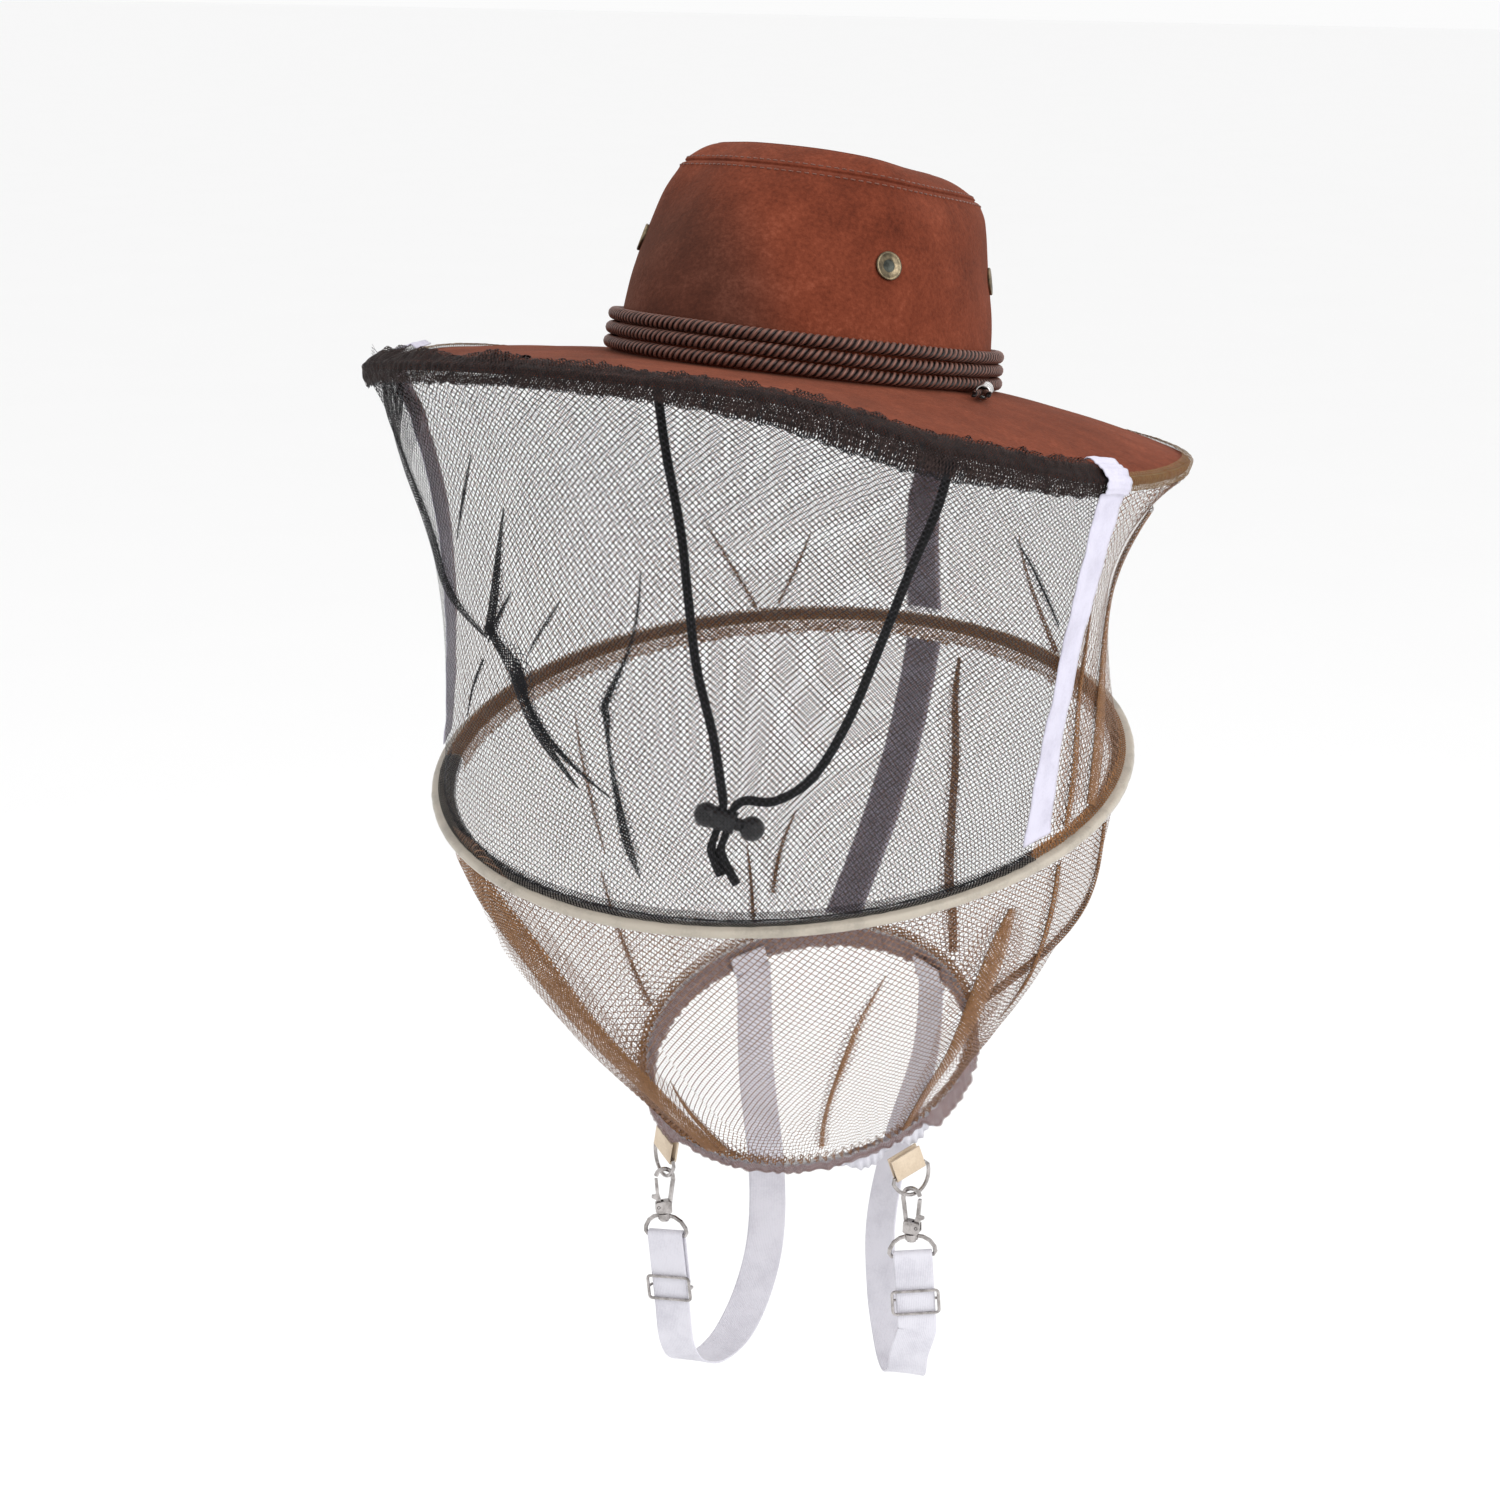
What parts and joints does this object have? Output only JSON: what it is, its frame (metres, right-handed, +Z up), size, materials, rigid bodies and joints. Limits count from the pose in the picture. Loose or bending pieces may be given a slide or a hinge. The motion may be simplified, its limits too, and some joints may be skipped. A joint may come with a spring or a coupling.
{
  "type": "beekeeping veil",
  "caption": "Beekeeping veil: a brimmed suede hat with a hanging net veil, a sprung spreader hoop, an elastic neck hem, clip-on arm straps and a chin cord with a sliding toggle.",
  "frame": {"origin": "centre of the head opening, in the plane where the crown meets the brim", "axes": "+Z up with the wearer upright, -Y is the way the wearer faces, +X is the wearer's left"},
  "size_m": [0.4042, 0.4125, 0.6413],
  "materials": {
    "suede": "mottled suede nap, brown suede with slight colour variation",
    "lining": "matt woven, plain",
    "antique_brass": "antiqued, plain",
    "band_cord": "waxed, twisted, two-ply twist with copper highlights",
    "nickel": "satin nickel plate, plain",
    "black_net": "fine diamond net, diamond mesh of about 1.9 mm",
    "brown_net": "fine square net, square mesh of about 2.1 mm",
    "white_tape": "satin weave, plain",
    "cream_tape": "satin weave, plain",
    "white_elastic": "knitted elastic, fine lengthwise ribs",
    "spring_steel": "drawn, plain",
    "black_cord": "braided, fine braid",
    "black_plastic": "moulded, plain"
  },
  "bodies": {
    "hat": {"brim": "suede", "chin_cord_left": "black_cord", "chin_cord_right": "black_cord", "crown_side": "suede", "crown_tip": "suede", "face_net": "black_net", "hat_band_cord_lower": "band_cord", "hat_band_cord_middle": "band_cord", "hat_band_cord_upper": "band_cord", "hat_band_end_inner": "band_cord", "hat_band_end_outer": "band_cord", "hat_band_ferrule": "nickel", "rear_net": "brown_net", "seam_tape_left": "white_tape", "seam_tape_rear": "white_tape", "seam_tape_right": "white_tape", "sweatband": "lining", "veil_top_casing": "black_net", "veil_top_elastic": "white_elastic", "vent_eyelet_left_front": "antique_brass", "vent_eyelet_left_rear": "antique_brass", "vent_eyelet_right_front": "antique_brass", "vent_eyelet_right_rear": "antique_brass"},
    "hoop": {"hoop_wire": "spring_steel", "hoop_crimp_sleeve": "spring_steel", "hoop_casing": "cream_tape", "skirt_net": "brown_net", "skirt_tape_rear": "white_tape", "neck_hem_casing": "brown_net", "neck_elastic": "white_elastic", "front_tab_left": "cream_tape", "front_tab_right": "cream_tape", "strap_ring_left": "nickel", "strap_ring_right": "nickel", "strap_left": "white_elastic", "strap_right": "white_elastic"},
    "toggle": {"toggle_body": "black_plastic", "toggle_spring": "spring_steel"},
    "toggle_button": {"toggle_button": "black_plastic"},
    "d_ring_left": {"d_ring_left": "nickel"},
    "clip_left": {"clip_body_left": "nickel", "lever_pin_left": "nickel"},
    "clip_lever_left": {"clip_lever_left": "nickel"},
    "slider_left": {"strap_slider_left": "nickel"},
    "d_ring_right": {"d_ring_right": "nickel"},
    "clip_right": {"clip_body_right": "nickel", "lever_pin_right": "nickel"},
    "clip_lever_right": {"clip_lever_right": "nickel"},
    "slider_right": {"strap_slider_right": "nickel"}
  },
  "joints": [
    {"name": "hoop_lift", "type": "slide", "parent": "hat", "child": "hoop", "axis": [0, 0, 1], "range_m": [0, 0.08], "deforming": ["face_net", "rear_net", "seam_tape_left", "seam_tape_right", "seam_tape_rear"]},
    {"name": "toggle_slide", "type": "slide", "parent": "hat", "child": "toggle", "axis": [-0.2518, -0.1121, -0.9613], "range_m": [0, 0.006]},
    {"name": "toggle_press", "type": "slide", "parent": "toggle", "child": "toggle_button", "axis": [-0.8782, -0.391, 0.2756], "range_m": [0, 0.0015], "stiffness_N_per_m": 800, "springref_m": -0.002, "deforming": ["toggle_spring"]},
    {"name": "d_ring_swing_left", "type": "hinge", "parent": "hoop", "child": "d_ring_left", "pos_m": [0.08056, -0.02921, -0.39577], "axis": [0.4966, 0.7936, 0.3516], "range_deg": [-2, 4]},
    {"name": "clip_swivel_left", "type": "hinge", "parent": "hoop", "child": "clip_left", "pos_m": [0.0813, -0.02739, -0.43021], "axis": [0, 0, 1], "range_deg": [-40, 0]},
    {"name": "clip_lever_open_left", "type": "hinge", "parent": "clip_left", "child": "clip_lever_left", "pos_m": [0.08426, -0.02687, -0.42681], "axis": [0.1736, -0.9848, 0], "range_deg": [0, 18], "stiffness_Nm_per_rad": 0.05, "springref_deg": -17.19},
    {"name": "slider_slide_left", "type": "slide", "parent": "hoop", "child": "slider_left", "axis": [-0.0604, -0.0349, 0.9976], "range_m": [-0.006, 0.009]},
    {"name": "d_ring_swing_right", "type": "hinge", "parent": "hoop", "child": "d_ring_right", "pos_m": [-0.04602, -0.0602, -0.40132], "axis": [0.8288, -0.4763, -0.2938], "range_deg": [-4, 4]},
    {"name": "clip_swivel_right", "type": "hinge", "parent": "hoop", "child": "clip_right", "pos_m": [-0.04733, -0.05928, -0.43587], "axis": [0, 0, 1], "range_deg": [0, 40]},
    {"name": "clip_lever_open_right", "type": "hinge", "parent": "clip_right", "child": "clip_lever_right", "pos_m": [-0.04978, -0.061, -0.43247], "axis": [-0.5736, 0.8192, 0], "range_deg": [0, 18], "stiffness_Nm_per_rad": 0.05, "springref_deg": -17.19},
    {"name": "slider_slide_right", "type": "slide", "parent": "hoop", "child": "slider_right", "axis": [-0.1035, -0.0145, 0.9945], "range_m": [-0.006, 0.009]}
  ]
}
